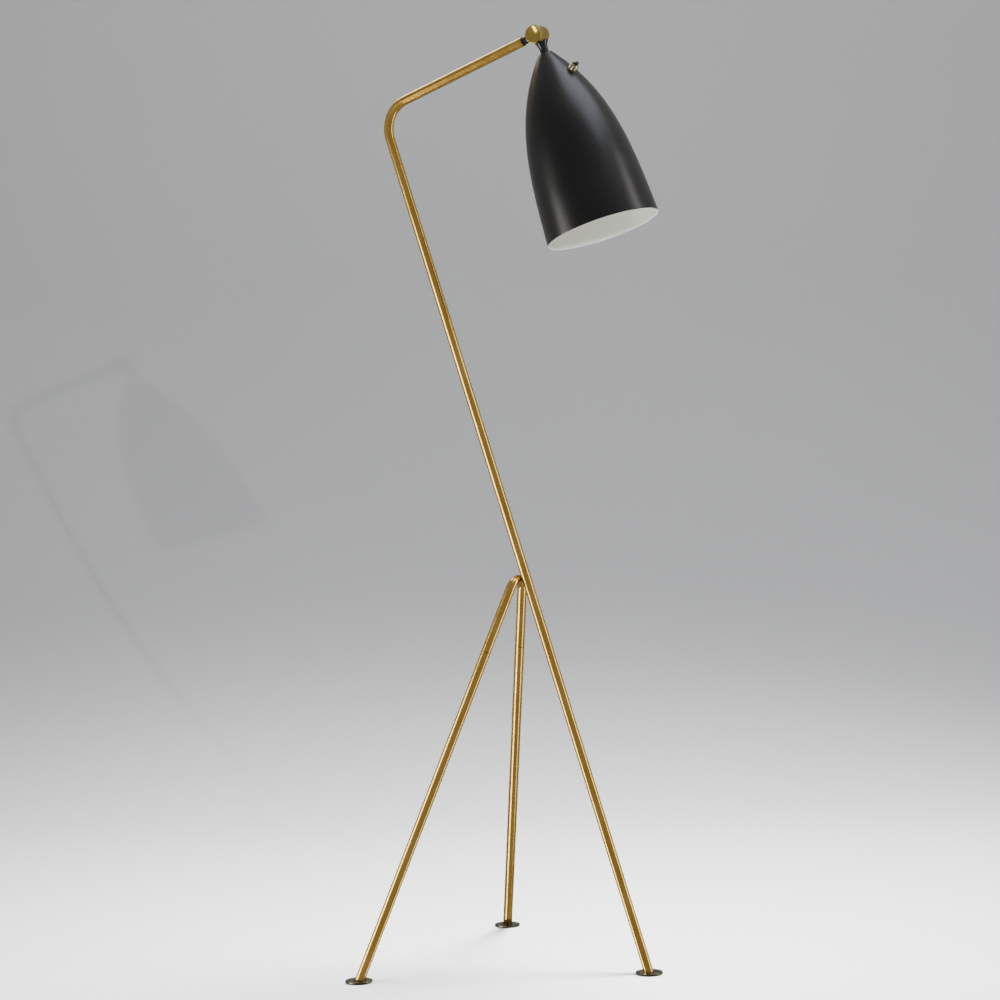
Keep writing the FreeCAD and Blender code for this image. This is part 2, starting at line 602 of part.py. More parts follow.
def shadeShell():
    wall = value("shadeWall")
    depths = [value("shadeTop") + value("shadeLength") * (step / 16) ** 1.5 for step in range(17)]
    outer = [Vector(shadeRadius(depth), 0, -depth) for depth in depths]
    inner = []
    for depth, spot in zip(depths, outer):
        slope = shadeSlope(depth)
        inward = Vector(-1, 0, -slope) * (wall / math.hypot(1, slope))
        inner.append(spot + inward)
    inner[0] = Vector(value("crownRadius") - 0.3, 0, -value("shadeTop") - wall)
    inner[-1] = Vector(outer[-1].x - wall, 0, outer[-1].z)
    outerCurve, innerCurve = Part.BSplineCurve(), Part.BSplineCurve()
    outerCurve.interpolate(outer)
    innerCurve.interpolate(inner)
    hole = value("nippleDia") / 2 + value("clampFit")
    top, under = Vector(hole, 0, outer[0].z), Vector(hole, 0, inner[0].z)
    edges = [
        outerCurve.toShape(), Part.LineSegment(outer[-1], inner[-1]).toShape(), innerCurve.toShape(),
        Part.LineSegment(inner[0], under).toShape(), Part.LineSegment(under, top).toShape(),
        Part.LineSegment(top, outer[0]).toShape(),
    ]
    profile = Part.Face(Part.Wire(Part.__sortEdges__(edges)))
    shell = profile.revolve(Vector(), axisZ, 360)
    drill = Part.makeCylinder(value("bushDia") / 2 + value("glandFit"), 12, Vector(0, 0, -6), axisZ)
    drill.Placement = switchSeat
    return shell.cut(drill)


def placedShape(name, shape, frame):
    item = doc.addObject("Part::Feature", name)
    item.Label = name
    item.Shape = shape
    item.Placement = frame
    subparts.append(item)


placedShape("shade", shadeShell(), headFrame)

# Leads: a round section swept along straight runs and arcs, held by the tubes and bores they pass.


def lead(name, points, radii):
    # Corners become arcs; the radii belong to the inner points.
    edges = []
    start = points[0]
    for before, corner, after, radius in zip(points, points[1:], points[2:], radii):
        inDirection = (corner - before).normalize()
        outDirection = (after - corner).normalize()
        reach = radius * math.tan(inDirection.getAngle(outDirection) / 2)
        enter, leave = corner - inDirection * reach, corner + outDirection * reach
        middle = (outDirection - inDirection).normalize()
        bow = radius / math.cos(inDirection.getAngle(outDirection) / 2) - radius
        edges.append(Part.LineSegment(start, enter).toShape())
        edges.append(Part.Arc(enter, corner + middle * bow, leave).toShape())
        start = leave
    edges.append(Part.LineSegment(start, points[-1]).toShape())
    section = Part.Wire(Part.makeCircle(value("leadDia") / 2, points[0], points[1] - points[0]))
    shape = Part.Wire(edges).makePipeShell([section], True, False)
    placedShape(name, shape, Placement())


meet = pivotPoint + axisY * value("leadMeet")
lead("lead_stem", [
    stemFrame.multVec(Vector(0, 4.0, value("glandStation"))),
    stemFrame.multVec(Vector(0, 0, value("glandStation"))),
    bendCorner, pivotPoint, meet,
], [3.8, value("bendRadius"), value("leadBend")])
lead("lead_head", [
    meet + axisY * value("faceGap"),
    headFrame.Base,
    headFrame.multVec(Vector(0, 0, -value("holderShoulder") - 1)),
], [value("leadBend")])

# Tests before anything is written, then the origin goes on the floor under the middle of the lamp.
doc.recompute()
for item in doc.Objects:
    if {"Invalid", "Error"} & set(item.State):
        raise RuntimeError(f"{item.Name} failed: {item.State}")
extent = FreeCAD.BoundBox()
for item in subparts:
    if item.Shape.isNull() or not item.Shape.isValid() or item.Shape.Volume <= 0:
        raise RuntimeError(f"{item.Label} has no valid solid")
    if len(item.Shape.Solids) != 1:
        raise RuntimeError(f"{item.Label} is {len(item.Shape.Solids)} solids")
    extent.add(item.Shape.optimalBoundingBox(False, False))
origin = Vector(-extent.Center.x, -extent.Center.y, -extent.ZMin)

os.makedirs("parts", exist_ok=True)
for item in subparts:
    item.Placement = shift(*origin) * item.Placement
    item.Shape.exportStep(f"parts/{item.Label}.step")

# Places that the joints and mounts use, in the finished frame.
print(f"{len(subparts)} sub-parts, size {extent.XLength:.2f} x {extent.YLength:.2f} x {extent.ZLength:.2f}")
spots = {
    "pivot": pivotPoint,
    "toggle": leverFrame.Base,
    "gland": glandFrame.multVec(Vector(0, 0, value("tubeDia / 2 + 0.5"))),
    **{f"foot_{place}": point for place, point in feet.items()},
    "shade top": headFrame.multVec(Vector(0, 0, -value("shadeTop"))),
    "rim": headFrame.multVec(Vector(0, 0, -value("shadeTop + shadeLength"))),
    "bulb end": headFrame.multVec(Vector(0, 0, -value("bulbReach"))),
}
for name, spot in spots.items():
    place = spot + origin
    print(f"{name}: {place.x:.3f} {place.y:.3f} {place.z:.3f}")
for name, outward in {
    "gland axis": glandFrame.Rotation.multVec(axisZ), "toggle axis": leverFrame.Rotation.multVec(axisY),
}.items():
    print(f"{name}: {outward.x:.5f} {outward.y:.5f} {outward.z:.5f}")
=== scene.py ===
import json
import math
import bmesh
import bpy
import numpy as np
from mathutils import Matrix, Vector


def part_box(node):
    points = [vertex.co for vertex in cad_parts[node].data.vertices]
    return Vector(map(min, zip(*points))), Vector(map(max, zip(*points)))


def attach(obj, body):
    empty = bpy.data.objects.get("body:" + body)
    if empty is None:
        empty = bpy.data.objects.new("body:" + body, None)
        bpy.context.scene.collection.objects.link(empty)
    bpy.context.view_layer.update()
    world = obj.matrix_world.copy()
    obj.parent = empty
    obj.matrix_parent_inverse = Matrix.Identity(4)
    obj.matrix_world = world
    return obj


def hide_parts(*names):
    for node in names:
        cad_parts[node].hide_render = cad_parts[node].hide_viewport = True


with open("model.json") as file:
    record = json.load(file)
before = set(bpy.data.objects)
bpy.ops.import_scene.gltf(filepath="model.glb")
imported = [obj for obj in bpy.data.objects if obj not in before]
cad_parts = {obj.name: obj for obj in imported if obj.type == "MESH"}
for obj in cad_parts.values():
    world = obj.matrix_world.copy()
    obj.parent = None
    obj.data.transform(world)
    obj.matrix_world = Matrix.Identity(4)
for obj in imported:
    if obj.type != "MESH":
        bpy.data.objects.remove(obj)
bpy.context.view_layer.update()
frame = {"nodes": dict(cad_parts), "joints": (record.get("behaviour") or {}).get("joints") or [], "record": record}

# Brass tripod floor lamp with a spun black shade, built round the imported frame. Metres, +Z up.
mm = 0.001
nodes = frame["nodes"]
joints = {joint["name"]: joint for joint in frame["joints"]}
mounts = {mount["name"]: mount for mount in frame["record"]["mounts"]}
up = Vector((0, 0, 1))


def boxCentre(node):
    low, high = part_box(node)
    return (low + high) / 2


def points(node):
    return np.array([vertex.co[:] for vertex in nodes[node].data.vertices])


def farEnd(node, axis, band=0.2 * mm):
    # middle of the ring of points furthest along an axis
    cloud = points(node)
    reach = cloud @ np.array(axis[:])
    return Vector(cloud[reach > reach.max() - band].mean(0))


# the knuckle pivot, the shade's axis (pointing down into the shade) and the plane the shade hangs in
pivot = Vector(joints["shade_tilt"]["pos_m"])
nippleCentre = boxCentre("nipple")
headPivot = Vector((pivot.x, nippleCentre.y, pivot.z))
headDown = (nippleCentre - headPivot).normalized()
headSide = Vector((0, 1, 0))
headFront = headSide.cross(-headDown).normalized()
togglePivot = Vector(joints["toggle_throw"]["pos_m"])
feet = {place: Vector(mounts[f"foot_rest_{place}"]["pos_m"]) for place in ("front", "left", "right")}

print("frame loaded:", len(nodes), "nodes")

cameraView = {"azimuth": 30.25, "pitch": -3.13, "roll": 1.57, "distance": 3.7913, "height": 0.8313,
              "behindFrontFoot": 0.2051, "aside": -0.0023, "lens": 101.91}


def makeCamera():
    turn = math.radians(cameraView["azimuth"])
    tilt = math.radians(cameraView["pitch"])
    roll = math.radians(cameraView["roll"])
    back = Vector((math.sin(turn), -math.cos(turn), 0))
    right = Vector((math.cos(turn), math.sin(turn), 0))
    spot = Vector((feet["front"].x - cameraView["behindFrontFoot"], 0, cameraView["height"]))
    spot += back * cameraView["distance"] + right * cameraView["aside"]
    ahead = -back * math.cos(tilt) + up * math.sin(tilt)
    upright = right.cross(ahead)
    across = right * math.cos(roll) - upright * math.sin(roll)
    upright = right * math.sin(roll) + upright * math.cos(roll)
    lensData = bpy.data.cameras.new("camera")
    lensData.sensor_width = 36
    lensData.lens = cameraView["lens"]
    lensData.clip_end = 60
    camera = bpy.data.objects.new("camera", lensData)
    camera.matrix_world = Matrix.Translation(spot) @ Matrix((across, upright, -ahead)).transposed().to_4x4()
    bpy.context.scene.collection.objects.link(camera)
    bpy.context.scene.camera = camera
    return back, right


cameraBack, cameraRight = makeCamera()


def linear(colour):
    # sRGB hex to the linear values a shader works in
    parts = [int(colour[i:i + 2], 16) / 255 for i in (1, 3, 5)]
    flat = [part / 12.92 if part <= 0.04045 else ((part + 0.055) / 1.055) ** 2.4 for part in parts]
    return (*flat, 1.0)


def addNode(tree, kind, settings=None, links=None):
    # settings: input name or number, property, or "stops" of a colour ramp as (place, hex);
    # links: input name or number to the output that feeds it
    node = tree.nodes.new(kind)
    for key, content in (settings or {}).items():
        if key == "stops":
            elements = node.color_ramp.elements
            while len(elements) < len(content):
                elements.new(0.5)
            for element, (place, colour) in zip(elements, content):
                element.position, element.color = place, linear(colour)
        elif isinstance(key, int) or key in node.inputs:
            node.inputs[key].default_value = content
        else:
            setattr(node, key, content)
    for key, source in (links or {}).items():
        tree.links.new(source, node.inputs[key])
    return node


def newMaterial(name, **surface):
    # a material whose even values sit on the shader itself
    material = bpy.data.materials.new(name)
    material.use_nodes = True
    tree = material.node_tree
    shader = tree.nodes["Principled BSDF"]
    for socket, content in surface.items():
        shader.inputs[socket.replace("_", " ")].default_value = content
    return material, tree, shader


# pale floor that sweeps up into a backdrop, with painted shade: darker towards the camera and as it rises, for the
# fall-off of the light
stageLook = {"front": "#a8a8a8", "near": "#f6f6f6", "middle": "#e2e2e2", "far": "#bcbcbc",
             "behind": 1.1, "sweep": 2.3, "wide": 9.0, "rise": 6.0, "reach": 5.0, "steps": 32,
             "mottleMm": 800, "mottleShare": 0.25, "fadeFrom": -2.0, "clearMm": 0.6}


def makeStage():
    # Seamless studio paper: matte, with a very slow unevenness, and a painted fall-off of the light: darker in
    # front of the lamp and as the backdrop rises, brightest just in front of the lamp.
    look = stageLook
    material, tree, shader = newMaterial("seamlessStudioPaperPaintedFalloff", Roughness=0.9)
    place = addNode(tree, "ShaderNodeNewGeometry").outputs["Position"]
    behind = addNode(tree, "ShaderNodeVectorMath", {"operation": "DOT_PRODUCT", 1: -cameraBack}, {0: place})
    mottle = addNode(tree, "ShaderNodeTexNoise", {"Scale": 1 / (look["mottleMm"] * mm), "Detail": 2},
                     {"Vector": place})
    drift = addNode(tree, "ShaderNodeMath", {"operation": "MULTIPLY_ADD", 1: look["mottleShare"]},
                    {0: mottle.outputs["Fac"], 2: behind.outputs["Value"]})
    share = addNode(tree, "ShaderNodeMapRange", {
        "From Min": look["fadeFrom"], "From Max": look["behind"] + look["sweep"],
    }, {"Value": drift.outputs[0]})
    # painted shade: the ramp darkens the paper towards the camera and up the backdrop, for the fall-off of the
    # light
    paper = addNode(tree, "ShaderNodeValToRGB", {
        "stops": [(0.1, look["front"]), (0.3, look["near"]), (0.6, look["middle"]), (0.95, look["far"])],
    }, {"Fac": share.outputs["Result"]})
    tree.links.new(paper.outputs["Color"], shader.inputs["Base Color"])
    section = [(-look["reach"], 0.0)]
    for step in range(look["steps"] + 1):
        angle = math.pi / 2 * step / look["steps"]
        section.append((look["behind"] + look["sweep"] * math.sin(angle), look["sweep"] * (1 - math.cos(angle))))
    section.append((look["behind"] + look["sweep"], look["rise"]))
    clear = look["clearMm"] * mm  # keeps the paper just under the pads
    mesh = bmesh.new()
    rows = []
    for along, height in section:
        row = []
        for side in (-1, 1):
            spot = -cameraBack * along + cameraRight * side * look["wide"] + up * (height - clear)
            row.append(mesh.verts.new(spot))
        rows.append(row)
    for first, second in zip(rows, rows[1:]):
        mesh.faces.new((first[0], first[1], second[1], second[0]))
    data = bpy.data.meshes.new("studio_sweep")
    mesh.to_mesh(data)
    mesh.free()
    for face in data.polygons:
        face.use_smooth = True
    data.materials.append(material)
    sweep = bpy.data.objects.new("studio_sweep", data)
    sweep.visible_glossy = False  # the tubes mirror the strip lights and the air, not the white floor
    bpy.context.scene.collection.objects.link(sweep)


# Angle is measured round the lamp from the camera's own direction, to the right. "aim" is a distance
# behind the lamp and a height. "shine" lights show in gloss, "spill" lights fall on matte surfaces.
lamps = {
    "stripLeft": {"angle": -76, "distance": 1.3, "height": -0.35, "size": (0.5, 2.7), "watts": 34, "spread": 180,
                  "colour": "#fffbf4", "aim": (0, -0.35), "shine": True, "spill": False},
    "stripRight": {"angle": 80, "distance": 1.3, "height": 0.35, "size": (0.34, 3.1), "watts": 14, "spread": 180,
                   "colour": "#fffbf4", "aim": (0, 0.35), "shine": True, "spill": False},
    "overhead": {"angle": 80, "distance": 0.9, "height": 3.2, "size": (1.8, 1.8), "watts": 34, "spread": 180,
                 "colour": "#e8f0ff", "aim": (0, 0.4), "shine": True, "spill": True},
    "armTop": {"angle": -146, "distance": 1.15, "height": 2.0, "size": (0.5, 0.5), "watts": 5, "spread": 180,
               "colour": "#fffbf4", "aim": (0, 1.2), "shine": True, "spill": False},
    "floorPool": {"angle": 115, "distance": 0.7, "height": 2.9, "size": (0.8, 0.8), "watts": 74, "spread": 80,
                  "colour": "#ffffff", "aim": (-0.05, 0), "shine": False, "spill": True},
    "shadowKey": {"angle": 18.5, "distance": 4.0, "height": 1.8, "size": (0.03, 0.03), "watts": 46, "spread": 180,
                  "colour": "#ffffff", "aim": (0, 1.2), "shine": False, "spill": True},
    "backdropWash": {"angle": 180, "distance": 0.7, "height": 3.7, "size": (3.0, 0.6), "watts": 46, "spread": 180,
                     "colour": "#ffffff", "aim": (3.4, 1.3), "shine": False, "spill": True},
}
studioAir = {"colour": "#eeeeee", "strength": 0.35}


def makeLight():
    world = bpy.data.worlds.new("studioAir")
    bpy.context.scene.world = world
    world.use_nodes = True
    background = world.node_tree.nodes["Background"]
    background.inputs["Color"].default_value = linear(studioAir["colour"])
    background.inputs["Strength"].default_value = studioAir["strength"]
    for name, values in lamps.items():
        data = bpy.data.lights.new(name, "AREA")
        data.shape = "RECTANGLE"
        data.size, data.size_y = values["size"]
        data.energy = values["watts"]
        data.spread = math.radians(values["spread"])
        data.color = linear(values["colour"])[:3]
        lamp = bpy.data.objects.new(name, data)
        turn = math.radians(values["angle"])
        outward = cameraBack * math.cos(turn) + cameraRight * math.sin(turn)
        lamp.location = outward * values["distance"] + up * values["height"]
        target = -cameraBack * values["aim"][0] + up * values["aim"][1]
        lamp.rotation_euler = (target - lamp.location).to_track_quat("-Z", "Y").to_euler()
        lamp.visible_camera = False
        lamp.visible_glossy, lamp.visible_diffuse = values["shine"], values["spill"]
        bpy.context.scene.collection.objects.link(lamp)


makeStage()
makeLight()
print("camera, paper and light ready")

# The linishing belt leaves marks about 0.1 mm apart; they are drawn at 0.6 mm so that they can be seen.
tubeLook = {"dark": "#cf9f40", "middle": "#e0b252", "light": "#edc56b", "brushMm": 0.6, "arcMm": 14,
            "toneMm": 60, "roughLow": 0.17, "roughHigh": 0.27}


def linishedBrass(name, axis):
    # Lacquered brass tube, linished round its length: fine rings that soften the long bright stripes,
    # and slow patches where the metal has toned under its lacquer.
    look = tubeLook
    material, tree, shader = newMaterial(name, Metallic=1.0, Coat_Weight=0.45, Coat_Roughness=0.1)
    spot = addNode(tree, "ShaderNodeTexCoord").outputs["Object"]
    turn = up.rotation_difference(axis).inverted().to_euler()
    turned = addNode(tree, "ShaderNodeVectorRotate", {"rotation_type": "EULER_XYZ", "Rotation": turn},
                     {"Vector": spot}).outputs[0]
    across = 1 / (look["arcMm"] * mm)
    brushSpace = addNode(tree, "ShaderNodeVectorMath", {
        "operation": "MULTIPLY", 1: (across, across, 1 / (look["brushMm"] * mm))}, {0: turned})
    rings = addNode(tree, "ShaderNodeTexNoise", {"Scale": 1.0, "Detail": 4, "Roughness": 0.7},
                    {"Vector": brushSpace.outputs[0]})
    toneSpace = addNode(tree, "ShaderNodeVectorMath", {
        "operation": "MULTIPLY", 1: (across, across, 1 / (look["toneMm"] * mm))}, {0: turned})
    tone = addNode(tree, "ShaderNodeTexNoise", {"Scale": 1.0, "Detail": 2}, {"Vector": toneSpace.outputs[0]})
    mixed = addNode(tree, "ShaderNodeMix", {"data_type": "FLOAT", "Factor": 0.3},
                    {2: tone.outputs["Fac"], 3: rings.outputs["Fac"]})
    colour = addNode(tree, "ShaderNodeValToRGB", {
        "stops": [(0.3, look["dark"]), (0.5, look["middle"]), (0.7, look["light"])]}, {"Fac": mixed.outputs[0]})
    tree.links.new(colour.outputs["Color"], shader.inputs["Base Color"])
    rough = addNode(tree, "ShaderNodeMapRange", {
        "From Min": 0.3, "From Max": 0.7, "To Min": look["roughLow"], "To Max": look["roughHigh"],
    }, {"Value": rings.outputs["Fac"]})
    tree.links.new(rough.outputs["Result"], shader.inputs["Roughness"])
    bump = addNode(tree, "ShaderNodeBump", {"Strength": 0.06, "Distance": 0.02 * mm},
                   {"Height": rings.outputs["Fac"]})
    tree.links.new(bump.outputs[0], shader.inputs["Normal"])
    return material


knuckleLook = {"dark": "#bfa449", "light": "#d9c068", "latheMm": 0.8, "cloudMm": 5,
               "roughLow": 0.2, "roughHigh": 0.28}


def turnedBrass():
    # Lathe-turned and polished brass: faint rings round the pivot, a soft reflection,
    # a greenish-gold tone.
    look = knuckleLook
    material, tree, shader = newMaterial("turnedPolishedBrass", Metallic=1.0, Coat_Weight=0.3,
                                         Coat_Roughness=0.05)
    spot = addNode(tree, "ShaderNodeTexCoord").outputs["Object"]
    centred = addNode(tree, "ShaderNodeVectorMath", {"operation": "SUBTRACT", 1: pivot}, {0: spot}).outputs[0]
    waveScale = 2 * math.pi / 20 / (look["latheMm"] * mm)  # a wave of scale 1 repeats every 2 pi / 20
    rings = addNode(tree, "ShaderNodeTexWave", {
        "wave_type": "RINGS", "rings_direction": "Y", "Scale": waveScale, "Distortion": 0.5, "Detail": 2,
    }, {"Vector": centred})
    cloud = addNode(tree, "ShaderNodeTexNoise", {"Scale": 1 / (look["cloudMm"] * mm), "Detail": 3},
                    {"Vector": centred})
    mixed = addNode(tree, "ShaderNodeMix", {"data_type": "FLOAT", "Factor": 0.2},
                    {2: cloud.outputs["Fac"], 3: rings.outputs["Fac"]})
    colour = addNode(tree, "ShaderNodeValToRGB", {"stops": [(0.25, look["dark"]), (0.75, look["light"])]},
                     {"Fac": mixed.outputs[0]})
    tree.links.new(colour.outputs["Color"], shader.inputs["Base Color"])
    rough = addNode(tree, "ShaderNodeMapRange", {
        "From Min": 0.3, "From Max": 0.7, "To Min": look["roughLow"], "To Max": look["roughHigh"],
    }, {"Value": cloud.outputs["Fac"]})
    tree.links.new(rough.outputs["Result"], shader.inputs["Roughness"])
    bump = addNode(tree, "ShaderNodeBump", {"Strength": 0.03, "Distance": 0.01 * mm},
                   {"Height": rings.outputs["Fac"]})
    tree.links.new(bump.outputs[0], shader.inputs["Normal"])
    return material


footLook = {"dark": "#3a3427", "middle": "#665d44", "light": "#a2966f", "cloudMm": 9, "scuffMm": 1.8,
            "roughLow": 0.14, "roughHigh": 0.3}


def agedBronze():
    # Foot discs: brass darkened to antique bronze and waxed, with cloudy toning and fine scuffs.
    look = footLook
    material, tree, shader = newMaterial("darkenedBronze", Metallic=1.0)
    spot = addNode(tree, "ShaderNodeTexCoord").outputs["Object"]
    cloud = addNode(tree, "ShaderNodeTexNoise", {"Scale": 1 / (look["cloudMm"] * mm), "Detail": 6},
                    {"Vector": spot})
    scuff = addNode(tree, "ShaderNodeTexNoise", {
        "Scale": 1 / (look["scuffMm"] * mm), "Detail": 8, "Roughness": 0.75}, {"Vector": spot})
    colour = addNode(tree, "ShaderNodeValToRGB", {
        "stops": [(0.35, look["dark"]), (0.5, look["middle"]), (0.66, look["light"])],
    }, {"Fac": cloud.outputs["Fac"]})
    tree.links.new(colour.outputs["Color"], shader.inputs["Base Color"])
    rough = addNode(tree, "ShaderNodeMapRange", {
        "From Min": 0.3, "From Max": 0.7, "To Min": look["roughLow"], "To Max": look["roughHigh"],
    }, {"Value": scuff.outputs["Fac"]})
    tree.links.new(rough.outputs["Result"], shader.inputs["Roughness"])
    bump = addNode(tree, "ShaderNodeBump", {"Strength": 0.15, "Distance": 0.06 * mm},
                   {"Height": scuff.outputs["Fac"]})
    tree.links.new(bump.outputs[0], shader.inputs["Normal"])
    return material


# Orange peel in a sprayed film is about 1 mm across and a few hundredths of a millimetre high.
paints = {
    "outside": {"name": "satinBlackEnamel", "dark": "#090808", "light": "#0e0d0d", "rough": 0.31, "peelMm": 1.1,
                "peelHigh": 0.03, "driftMm": 70, "coat": 0.0},
    "inside": {"name": "offWhiteEnamel", "dark": "#dedfd2", "light": "#e8e9de", "rough": 0.5, "peelMm": 1.1,
               "peelHigh": 0.04, "driftMm": 55, "coat": 0.0},
    "casting": {"name": "glossBlackEnamelOnCasting", "dark": "#0e0d0d", "light": "#171615", "rough": 0.24,
                "peelMm": 1.6, "peelHigh": 0.08, "driftMm": 8, "coat": 0.3},
}


def sprayedEnamel(film):
    # Sprayed and baked enamel on metal: an even colour that drifts slightly, and an orange-peel ripple.
    material, tree, shader = newMaterial(film["name"], IOR=1.5, Coat_Weight=film["coat"], Coat_Roughness=0.08)
    spot = addNode(tree, "ShaderNodeTexCoord").outputs["Object"]
    peel = addNode(tree, "ShaderNodeTexNoise", {"Scale": 1 / (film["peelMm"] * mm), "Detail": 3, "Roughness": 0.5},
                   {"Vector": spot})
    drift = addNode(tree, "ShaderNodeTexNoise", {"Scale": 1 / (film["driftMm"] * mm), "Detail": 4},
                    {"Vector": spot})
    colour = addNode(tree, "ShaderNodeValToRGB", {"stops": [(0.35, film["dark"]), (0.65, film["light"])]},
                     {"Fac": drift.outputs["Fac"]})
    tree.links.new(colour.outputs["Color"], shader.inputs["Base Color"])
    rough = addNode(tree, "ShaderNodeMapRange", {
        "From Min": 0.3, "From Max": 0.7, "To Min": film["rough"] - 0.03, "To Max": film["rough"] + 0.04,
    }, {"Value": drift.outputs["Fac"]})
    tree.links.new(rough.outputs["Result"], shader.inputs["Roughness"])
    bump = addNode(tree, "ShaderNodeBump", {"Strength": 0.3, "Distance": film["peelHigh"] * mm},
                   {"Height": peel.outputs["Fac"]})
    tree.links.new(bump.outputs[0], shader.inputs["Normal"])
    return material


# Small parts: what each is made of, how, and what that gives the eye.
smallParts = {
    # moulded phenolic: dull near-black with a fine wood-flour grain
    "phenolic": {"name": "mouldedPhenolic", "dark": "#1a1816", "light": "#26231f", "rough": 0.42, "grainMm": 0.7,
                 "metallic": 0.0, "ior": 1.63, "high": 0.06},
    # polished phenolic tip: black with a wet shine
    "tip": {"name": "polishedPhenolic", "dark": "#0b0a0c", "light": "#131215", "rough": 0.14, "grainMm": 1.4,
            "metallic": 0.0, "ior": 1.63, "high": 0.01},
    # moulded rubber: flat black with a bloom
    "rubber": {"name": "mouldedRubber", "dark": "#151515", "light": "#212121", "rough": 0.75, "grainMm": 0.5,
               "metallic": 0.0, "ior": 1.52, "high": 0.08},
    # zinc-plated steel: cool grey with a soft spangle
    "steel": {"name": "zincPlatedSteel", "dark": "#989b9f", "light": "#bbbdc0", "rough": 0.3, "grainMm": 0.6,
              "metallic": 1.0, "ior": None, "high": 0.02},
    # nickel-plated brass: a bright warm mirror with the turning marks almost polished out
    "nickel": {"name": "nickelPlatedBrass", "dark": "#cdc198", "light": "#e2d8b2", "rough": 0.08, "grainMm": 4.0,
               "metallic": 1.0, "ior": None, "high": 0.004},
    # unglazed porcelain: chalky warm white
    "porcelain": {"name": "unglazedPorcelain", "dark": "#d8d4c8", "light": "#ebe7dc", "rough": 0.7, "grainMm": 0.5,
                  "metallic": 0.0, "ior": 1.55, "high": 0.05},
    # stamped brass: bright yellow with faint rolling marks
    "contact": {"name": "stampedBrass", "dark": "#c29a45", "light": "#dcb967", "rough": 0.22, "grainMm": 0.8,
                "metallic": 1.0, "ior": None, "high": 0.01},
    # rolled aluminium: pale grey, softly bright
    "aluminium": {"name": "rolledAluminium", "dark": "#acaeb0", "light": "#cccdcf", "rough": 0.28, "grainMm": 0.9,
                  "metallic": 1.0, "ior": None, "high": 0.02},
    # extruded PVC: smooth, slightly waxy off-white
    "jacket": {"name": "extrudedPvcJacket", "dark": "#c4c2b8", "light": "#d6d4cb", "rough": 0.45, "grainMm": 1.2,
               "metallic": 0.0, "ior": 1.53, "high": 0.03},
    # braze metal left as it flowed: grey-brown, uneven, heat-darkened
    "braze": {"name": "flowedBraze", "dark": "#2a2419", "light": "#6e654d", "rough": 0.35, "grainMm": 1.6,
              "metallic": 1.0, "ior": None, "high": 0.1},
    # brass darkened in a joint that is never polished, brown-black, and painted shade for the shadow in the seam
    # groove
    "tarnishAndGrooveShade": {"name": "tarnishedBrassAndGrooveShade", "dark": "#241c10", "light": "#40331d", "rough": 0.5, "grainMm": 0.8,
                "metallic": 1.0, "ior": None, "high": 0.03},
}


def smallFinish(part):
    # A fine grain drives the colour, the shine and the height together.
    material, tree, shader = newMaterial(part["name"], Metallic=part["metallic"])
    if part["ior"]:
        shader.inputs["IOR"].default_value = part["ior"]
    spot = addNode(tree, "ShaderNodeTexCoord").outputs["Object"]
    grain = addNode(tree, "ShaderNodeTexNoise", {
        "Scale": 1 / (part["grainMm"] * mm), "Detail": 5, "Roughness": 0.65}, {"Vector": spot})
    colour = addNode(tree, "ShaderNodeValToRGB", {"stops": [(0.35, part["dark"]), (0.65, part["light"])]},
                     {"Fac": grain.outputs["Fac"]})
    tree.links.new(colour.outputs["Color"], shader.inputs["Base Color"])
    rough = addNode(tree, "ShaderNodeMapRange", {
        "From Min": 0.3, "From Max": 0.7, "To Min": part["rough"] * 0.85, "To Max": part["rough"] * 1.2,
    }, {"Value": grain.outputs["Fac"]})
    tree.links.new(rough.outputs["Result"], shader.inputs["Roughness"])
    bump = addNode(tree, "ShaderNodeBump", {"Strength": 0.3, "Distance": part["high"] * mm},
                   {"Height": grain.outputs["Fac"]})
    tree.links.new(bump.outputs[0], shader.inputs["Normal"])
    return material


glassLook = {"dark": "#efece2", "light": "#f8f6ef", "frostMm": 1.0, "through": 0.35}


def frostedGlass():
    # Acid-frosted bulb: milky and slightly warm, with a faint mottle from the etch.
    look = glassLook
    material, tree, shader = newMaterial("acidFrostedGlass", Roughness=0.4, IOR=1.5,
                                         Transmission_Weight=look["through"])
    spot = addNode(tree, "ShaderNodeTexCoord").outputs["Object"]
    frost = addNode(tree, "ShaderNodeTexNoise", {"Scale": 1 / (look["frostMm"] * mm), "Detail": 3},
                    {"Vector": spot})
    colour = addNode(tree, "ShaderNodeValToRGB", {"stops": [(0.35, look["dark"]), (0.65, look["light"])]},
                     {"Fac": frost.outputs["Fac"]})
    tree.links.new(colour.outputs["Color"], shader.inputs["Base Color"])
    bump = addNode(tree, "ShaderNodeBump", {"Strength": 0.15, "Distance": 0.05 * mm},
                   {"Height": frost.outputs["Fac"]})
    tree.links.new(bump.outputs[0], shader.inputs["Normal"])
    return material


# tubes run from their feet: the stem towards its bend, each leg to its seam
belowBend = 0.9  # height up to which the stem is surely straight
stemStraight = points("stem_tube")
stemStraight = stemStraight[stemStraight[:, 2] < belowBend]
stemAxis = Vector(np.linalg.svd(stemStraight - stemStraight.mean(0), full_matrices=False)[2][0])
stemAxis = stemAxis if stemAxis.z > 0 else -stemAxis
legAxes, legSeams = {}, {}
for side in ("left", "right"):
    rough = (boxCentre(f"leg_{side}") - feet[side]).normalized()
    legSeams[side] = farEnd(f"leg_{side}", rough, 1.0 * mm)
    legAxes[side] = (legSeams[side] - feet[side]).normalized()

